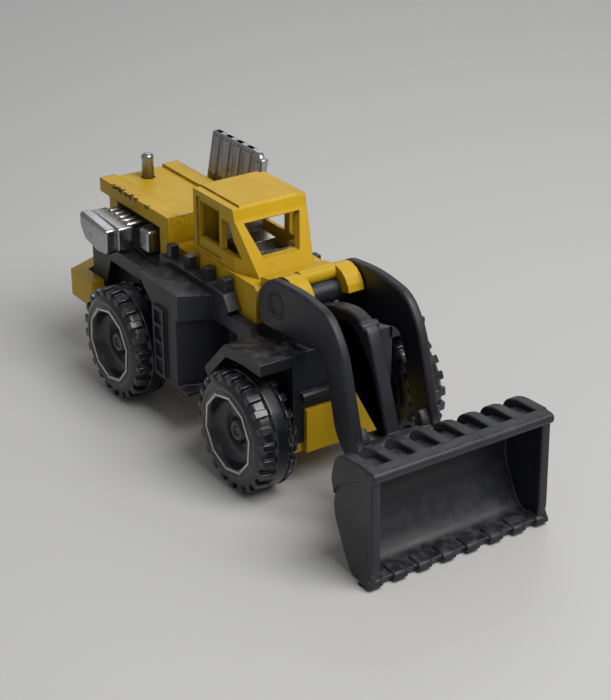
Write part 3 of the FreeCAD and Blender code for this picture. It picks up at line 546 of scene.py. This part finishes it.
# %% Plating and bare metal
def bright_finish(name, tone, roughness, worn_tone, wear, radius=0.00014, stains=()):
    """Bright metal: mirror-like with a soft cloud in its polish, rubbed to a duller tone at edges and in patches."""
    material, tree, shader, here = new_finish(name)
    rim = use(tree, edges, Radius=radius)
    chip = use(tree, chips, Edge=rim["Edge"], Vector=here, Size=1500.0, Amount=wear)["Chip"]
    dirt_and_shade = use(tree, corners, Vector=here, Reach=0.0012)
    fine = use(tree, grain, Vector=here, Size=1800.0)
    patch = ramp(tree, noise(tree, here, 420.0, 5.0, 0.65), 0.60, 0.68)
    colour = blend(tree, ramp(tree, fine["Cloud"], 0.3, 0.7), tone, tuple(v * 0.82 for v in tone))
    colour = blend(tree, sum_of(tree, "MULTIPLY", patch, 0.55), colour, worn_tone)
    # Painted shade with dirt: the plating darkens to near black in corners and creases where the occlusion mask is
    # high.
    colour = blend(tree, sum_of(tree, "MULTIPLY", dirt_and_shade["Dirt_and_shade"], 0.85), colour, (0.035, 0.030, 0.026))
    colour = blend(tree, chip, colour, worn_tone)
    for place, size in stains:
        colour = blend(tree, sum_of(tree, "MULTIPLY", spot(tree, here, place, size), 0.85), colour,
                       (0.11, 0.075, 0.045))
    join(tree, colour, shader.inputs["Base Color"])
    # The same corner mask also lowers the metal's shine, as part of the painted shade.
    covered = sum_of(tree, "MAXIMUM", chip, sum_of(tree, "MULTIPLY", dirt_and_shade["Dirt_and_shade"], 0.6))
    join(tree, ramp(tree, covered, 0.0, 1.0, 1.0, 0.45), shader.inputs["Metallic"])
    rough = add(tree, "ShaderNodeMath",
                {0: ramp(tree, fine["Cloud"], 0.3, 0.7, roughness, roughness + 0.10),
                 1: sum_of(tree, "MULTIPLY", sum_of(tree, "MAXIMUM", patch, chip), 0.22)},
                operation="ADD", use_clamp=True).outputs[0]
    join(tree, rough, shader.inputs["Roughness"])
    level = sum_of(tree, "SUBTRACT", ramp(tree, fine["Height"], 0.2, 0.8, 0.5, 0.56),
                   sum_of(tree, "MULTIPLY", fine["Scratch"], 0.12))
    join(tree, bump(tree, level, 0.45, 0.00008, rim["Normal"]), shader.inputs["Normal"])
    return material


stack_stain = (((-34.2, 0.0, 25.6), 2.6),)
chrome_plate = bright_finish("chrome_plate", (0.44, 0.44, 0.45), 0.22, (0.15, 0.135, 0.12), 0.50,
                             stains=stack_stain)
ring_silver = bright_finish("ring_silver", (0.62, 0.63, 0.63), 0.34, (0.30, 0.30, 0.29), 0.45, 0.00005)
axle_steel = bright_finish("axle_steel", (0.42, 0.42, 0.43), 0.28, (0.16, 0.14, 0.12), 0.45, 0.00008)
rivet_metal = bright_finish("rivet_metal", (0.46, 0.44, 0.40), 0.36, (0.42, 0.27, 0.04), 0.60, 0.00012)
print("finishes:", len(bpy.data.materials))

# %% [markdown]
# ## Wheels
# Each wheel is one hard plastic moulding: a fat tyre with blocks across its tread and a deep dished hub, with a bright
# notched ring stamped on its rim. Turning a section gives the tyre and hub; one block, copied round the axle by
# rotation arrays, gives the tread, which is far lighter than cutting grooves.

# %% Section of the wheel
AXLES = (("front", 10.0), ("rear", -21.0))
AXLE_HEIGHT = 8.0


def eased(corners, radius=0.25, steps=4):
    """Open line with soft corners: the closed rule for outlines, with both end points put back."""
    middle = rounded(corners, radius, steps)[steps:-steps]
    ends = np.array([corners[0][:2], corners[-1][:2]], float)
    return np.concatenate([ends[:1], middle, ends[1:]])


def around(shell, count, centre, first=0.0):
    """Copies of a shell round the wheel axle: x and z turn by 360 / count degrees for each copy."""
    points, faces = shell
    turn = first + np.arange(count) * 2 * math.pi / count
    local = points - centre
    x = np.cos(turn)[:, None] * local[:, 0] + np.sin(turn)[:, None] * local[:, 2]
    z = np.cos(turn)[:, None] * local[:, 2] - np.sin(turn)[:, None] * local[:, 0]
    y = np.broadcast_to(local[:, 1], x.shape)
    copies = np.stack([x, y, z], -1).reshape(-1, 3) + centre
    return facing_out(copies, [tuple(v + i * len(points) for v in f) for i in range(count) for f in faces])


TYRE = [(12.4, 0, 0), (12.4, 0.91, 0.02), (11.5, 0.91, 0.02), (11.5, 0.66, 0.02), (9.3, 0.66, 0.05),
        (9.3, 1.5, 0.2), (9.7, 2.2, 0.3), (9.7, 4.0, 0.5), (8.75, 4.6, 0.4), (8.62, 5.7, 0.6), (8.9, 6.7, 0.8),
        (9.5, 7.45, 0.4), (10.1, 7.5, 0.1), (10.35, 7.9, 0.12), (12.0, 7.9, 0.12), (12.25, 7.5, 0.1),
        (13.6, 7.4, 0.6), (14.25, 6.8, 0.7), (14.55, 6.1, 0.4), (14.36, 5.65, 0.12), (14.46, 5.45, 0.05),
        (14.46, 4.78, 0.1), (14.1, 4.62, 0.25), (13.0, 4.25, 0.6), (12.62, 3.2, 0.8), (12.6, 1.75, 0.4),
        (13.05, 1.45, 0.2), (13.25, 1.25, 0.15), (13.25, 0.75, 0.15), (12.95, 0.55, 0.1), (12.9, 0, 0)]


def tread_block(near, far, lean):
    """One block: a short slab on the tread whose ends sink over the shoulder as the square of the distance."""
    outline = [(-0.50 + lean, near), (0.50 + lean, near), (0.58, far), (-0.58, far)]
    block = slab(rounded(outline, 0.22, 3), 7.0, 8.0, 0.16, plane="plan", steps=3)

    def over_the_shoulder(p):
        past = np.clip(np.abs(p[:, 1] - 11.6) - 1.9, 0, None)
        p[:, 2] -= 0.62 * past ** 2
        p[:, 0] *= 0.62 + 0.38 * p[:, 2] / 8.0
        return p

    return changed(block, over_the_shoulder)


def wheel(name, x, side):
    """Tyre with its middle rib, hub, and two staggered rows of tread blocks, on one axle end."""
    centre = np.array([x, 0, AXLE_HEIGHT])
    rows = [tread_block(12.3, 14.2, 0.12), tread_block(8.9, 10.15, -0.12)]
    treads = [around((b[0] + centre, b[1]), 22, centre, first) for b, first in zip(rows, (0.0, math.pi / 22))]
    shells = [lathe(eased(TYRE), centre, "y", 88), *treads]
    if side < 0:
        shells = [mirrored(s) for s in shells]
    return finished(name, shells, tyre_black, name.replace("_tyre", ""),
                    [name.replace("_tyre", "")])


for end, x in AXLES:
    for hand, side in (("left", 1), ("right", -1)):
        wheel(f"wheel_{end}_{hand}_tyre", x, side)

# %% Stamped rings
def notched(radius, count=10, tooth=0.14):
    """Saw-toothed ring outline: each side runs straight from the full radius to one tooth less, then steps back."""
    turn = (np.arange(count) + 0.3) * 2 * math.pi / count
    start = radius * np.stack([np.cos(turn), np.sin(turn)], 1)
    turn = turn + 2 * math.pi / count * 0.985
    stop = (radius - tooth) * np.stack([np.cos(turn), np.sin(turn)], 1)
    return np.stack([start, stop], 1).reshape(-1, 2)


for end, x in AXLES:
    for hand, side in (("left", 1), ("right", -1)):
        place = np.array([x, AXLE_HEIGHT])
        band = slab(notched(5.42) + place, 14.40, 14.57, 0.03, [notched(5.08, tooth=0.12) + place], "side", 3)
        name = f"rim_ring_{end}_{hand}"
        finished(f"{name}_foil", [band if side > 0 else mirrored(band)], ring_silver, f"wheel_{end}_{hand}",
                 [name])

# %% [markdown]
# ## Lift arms
# Two flat black arms that bend down from the shoulder to the bucket, and between them a thin lever that runs from the
# pivot shaft over its own elbow to a brace at the foot. All are plates with a well softened rim, so a slab of the side
# outline is the natural form, with a dished washer let into each shoulder.

# %% Arms
ARM = [(4.8, 21.1, 1.2), (5.8, 19.4, 1.0), (14.3, 19.75, 3.0), (19.0, 20.9, 1.4), (20.2, 18.0, 1.5),
       (21.0, 14.3, 3.0), (21.8, 11.2, 2.0), (25.6, 6.9, 1.2), (26.3, 5.3, 1.0), (28.9, 5.25, 1.2),
       (30.0, 7.0, 1.2), (28.6, 8.9, 1.2), (26.5, 10.7, 1.6), (25.0, 15.8, 4.0), (23.1, 22.4, 3.5),
       (20.2, 26.1, 2.6), (13.6, 27.0, 3.5), (7.1, 26.3, 2.6), (4.7, 23.6, 1.4)]
PIVOT = (8.9, 0, 23.3)
plate = slab(rounded(ARM, steps=7), 5.1, 6.5, 0.42, [disc(8.9, 23.3, 1.75)], steps=5)
dish = lathe(eased([(5.1, 0), (5.1, 1.9, 0.1), (6.5, 1.9, 0.1), (6.48, 1.6, 0.15), (6.2, 1.2, 0.25),
                    (6.15, 0)]), PIVOT)
trunnion = lathe(eased([(6.2, 0), (6.2, 0.9, 0.1), (7.85, 0.9, 0.12), (7.85, 0)]), (27.8, 0, 7.0))
LEVER = [(8.4, 20.5, 0.4), (10.6, 20.9, 1.0), (13.5, 21.6, 1.0), (16.9, 22.3, 1.2), (18.3, 21.9, 0.8),
         (19.5, 20.6, 0.8), (21.7, 18.0, 2.0), (22.9, 12.6, 2.0), (24.0, 8.6, 0.4), (26.0, 8.4, 0.4),
         (25.0, 11.4, 1.2), (23.9, 14.9, 2.0), (21.4, 21.6, 1.0), (20.5, 23.1, 0.9), (18.7, 23.8, 1.0),
         (16.9, 24.2, 1.2), (13.2, 23.6, 1.4), (10.4, 22.4, 0.9), (8.4, 22.0, 0.4)]
lever = slab(rounded(LEVER, steps=6), -1.0, 1.0, 0.35, steps=5)
elbow_boss = lathe(eased([(-1.35, 0), (-1.35, 0.65, 0.3), (1.35, 0.65, 0.3), (1.35, 0)]), (19.7, 0, 22.9),
                   steps=28)
foot = slab(rounded([(23.9, 8.4), (27.6, 8.4), (27.8, 9.4), (26.2, 10.6), (25.0, 10.6)], 0.5, 5), -5.3, 5.3,
            0.1)
gusset = slab(rounded([(24.4, 8.6), (26.6, 8.6), (25.9, 11.2), (24.9, 12.6), (24.0, 11.0)], 0.5, 4), 3.9, 5.3,
              0.35)
finished("lift_arm_frame", both(plate, dish, trunnion, gusset) + [lever, elbow_boss, foot],
         loader_black, "lift_arms", ["loader_arms"])

# %% [markdown]
# ## Bucket
# A deep trough: one curved sheet for the floor and back, two cheeks, a thick lip over the top, eight stiffening ribs
# that run down behind and eight teeth below. The trough is a slab too, of a thin C-shaped outline, because its
# section is the same from cheek to cheek.

# %% Bucket
TROUGH = [(38.4, 0.02, 0.2), (35.1, 0.02, 0.8), (33.5, 2.0, 1.6), (30.75, 7.4, 2.2), (31.6, 11.2, 1.6),
          (33.4, 14.4, 0.9), (38.7, 15.1, 0.3), (38.9, 14.0, 0.3), (34.7, 13.3, 0.9), (32.7, 10.8, 1.4),
          (31.95, 7.4, 2.0), (34.4, 2.7, 1.6), (35.7, 1.15, 0.9), (38.9, 1.15, 0.3)]
CHEEK = [(38.3, 0.02, 0.3), (35.0, 0.02, 0.8), (33.5, 2.0, 1.5), (30.9, 7.4, 2.0), (31.7, 11.2, 1.5),
         (33.5, 14.3, 0.9), (38.8, 15.1, 0.3), (39.05, 2.9, 0.6)]
trough = slab(rounded(TROUGH, steps=6), -12.6, 12.6, 0.1, steps=3)
cheek = slab(rounded(CHEEK, steps=6), 12.1, 13.1, 0.22, steps=4)
front_post = slab(rounded([(38.0, 0.6), (38.9, 0.8), (39.15, 2.9), (38.85, 14.6), (37.7, 14.6), (37.9, 3.0)], 0.3, 4),
                  11.95, 13.25, 0.28)
lip = slab(rounded([(37.3, 14.2), (39.1, 14.1), (39.5, 14.8), (39.15, 15.5), (37.3, 15.6)], 0.45, 6), -13.35,
           13.35, 0.3)
shoe = slab(rounded([(36.8, 0.02), (38.7, 0.02), (39.3, 0.8), (39.2, 1.8), (38.3, 2.6), (36.9, 1.7)], 0.5, 5),
            12.6, 13.35, 0.3)
EAR = [(31.8, 4.6), (31.8, 9.6), (28.4, 8.85), (26.8, 8.6), (25.95, 7.0), (26.6, 5.3), (28.4, 5.0)]
ear = slab(rounded(EAR, 0.9, 6), 6.65, 7.9, 0.25, [disc(27.8, 7.0, 0.96)])
RIB = [(38.1, 14.2, 0.3), (38.0, 15.7, 0.5), (33.6, 15.5, 1.2), (31.7, 14.6, 1.2), (30.85, 11.4, 0.8),
       (31.6, 9.4, 0.4), (32.4, 11.2, 0.5)]
TOOTH = [(36.9, 0.02, 0.1), (38.7, 0.05, 0.3), (39.42, 0.55, 0.2), (39.1, 1.35, 0.35), (37.0, 1.55, 0.3)]
places = -12.6 + 3.6 * np.arange(8)
ribs = [slab(rounded(RIB, steps=5), y - 0.8, y + 0.8, 0.26, steps=4) for y in places]
teeth = [slab(rounded(TOOTH, steps=5), y - 1.0, y + 1.0, 0.3, steps=4) for y in places]
finished("bucket_scoop", both(cheek, front_post, shoe, ear) + [trough, lip] + ribs + teeth, loader_black, "bucket",
         ["bucket"])

# %% [markdown]
# ## Engine parts
# One plated moulding fills the open bay under the hood: five header pipes, a flat silencer, a pump, the upright stack
# and a ribbed panel that leans outward on the left. Pipes are rods with domed ends, the stack is turned, and the panel
# is an upright slab whose points are then slid sideways in proportion to their height, which keeps its rims even.

# %% Engine block, pipes and stack
block = slab(rounded([(-33.6, -4.4), (-20.8, -4.4), (-20.8, 4.4), (-33.6, 4.4)], 0.4), 18.9, 24.4, 0.3,
             [disc(-28.0, 0.0, 2.0)], "plan")
stack_foot = slab(rounded([(-35.4, -1.1), (-33.0, -1.1), (-33.0, 1.1), (-35.4, 1.1)], 0.4), 23.6, 24.5, 0.2,
                  plane="plan")
stack = lathe(eased([(24.0, 0), (24.0, 0.9, 0.1), (28.3, 0.84, 0.05), (28.35, 0.9, 0.04), (28.9, 0.9, 0.3),
                     (29.2, 0.45, 0.15), (29.2, 0)]), (-34.2, 0, 0), "z", 40)
headers = [rod([(x, -4.2, 22.8), (x, -6.5, 22.8), (x, -8.3, 22.8)], 0.5) for x in -31.6 + 1.5 * np.arange(5)]
pump = slab(rounded([(-23.4, -7.8), (-20.9, -7.8), (-20.9, -4.2), (-23.4, -4.2)], 0.5), 19.9, 23.2, 0.45,
            plane="plan")
bridge = slab(rounded([(-32.6, 19.6), (-24.6, 19.6), (-24.6, 23.0), (-32.6, 23.3)], 0.4), -10.3, -7.9, 0.2)
SILENCER = [(-31.6, 19.6), (-28.0, 18.9), (-25.3, 19.2), (-25.3, 22.8), (-32.9, 23.4), (-32.9, 21.4)]
silencer = slab(rounded(SILENCER, 0.5, 5), -12.0, -10.0, 0.45, steps=5)
print("pipes:", len(headers))

# %% Ribbed panel
PANEL_FOOT = 21.4
PANEL_LEAN = math.tan(math.radians(10.0))


def leaning(shell):
    """Each point moves outward by its height above the panel's foot times the tangent of ten degrees."""
    def slide(p):
        p[:, 1] += (p[:, 2] - PANEL_FOOT) * PANEL_LEAN
        return p

    return changed(shell, slide)


PANEL = [(-30.5, 21.4, 0.2), (-17.45, 21.4, 0.2), (-17.45, 30.4, 0.8), (-18.6, 32.0, 0.8), (-30.5, 32.0, 0.4)]
panel = leaning(slab(rounded(PANEL, steps=5), 7.1, 7.9, 0.1))
panel_ribs = []
for start in -30.5 + 2.75 * np.arange(5):
    top = 32.0 if start < -20.0 else 31.3
    strip = [(start, PANEL_FOOT), (start + 2.05, PANEL_FOOT), (start + 2.05, top), (start, top)]
    panel_ribs.append(leaning(slab(rounded(strip, 0.3), 6.75, 8.25, 0.45, steps=5)))
bracket = slab(rounded([(-29.5, 21.4), (-21.2, 21.4), (-21.2, 23.0), (-29.5, 23.0)], 0.2), 4.2, 7.9, 0.15)
plated = [block, stack_foot, stack, *headers, pump, bridge, silencer, panel, *panel_ribs, bracket]
finished("engine_bright_parts", plated, chrome_plate, "chassis", ["engine_insert"])

# %% [markdown]
# ## Parts kept from the mechanical model
# The casting, the frame, the base, the cab insert, the shaft, the wires and the rivets already have the right shape,
# so they only take a finish. Their crisp edges are softened by the bevel node in each finish, which leaves the packed
# meshes exactly as they were.

# %% Finishes for the kept parts
KEPT = {"body_shell": yellow_paint, "mid_frame": black_plastic, "base_plate": yellow_plastic,
        "cab_interior": chrome_plate, "arm_pivot_shaft": loader_black, "front_axle_wire": axle_steel,
        "rear_axle_wire": axle_steel, "front_rivet": rivet_metal, "rear_rivet": rivet_metal}
for node, finish in KEPT.items():
    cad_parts[node].data.materials.clear()
    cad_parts[node].data.materials.append(finish)
print("kept parts:", len(KEPT))
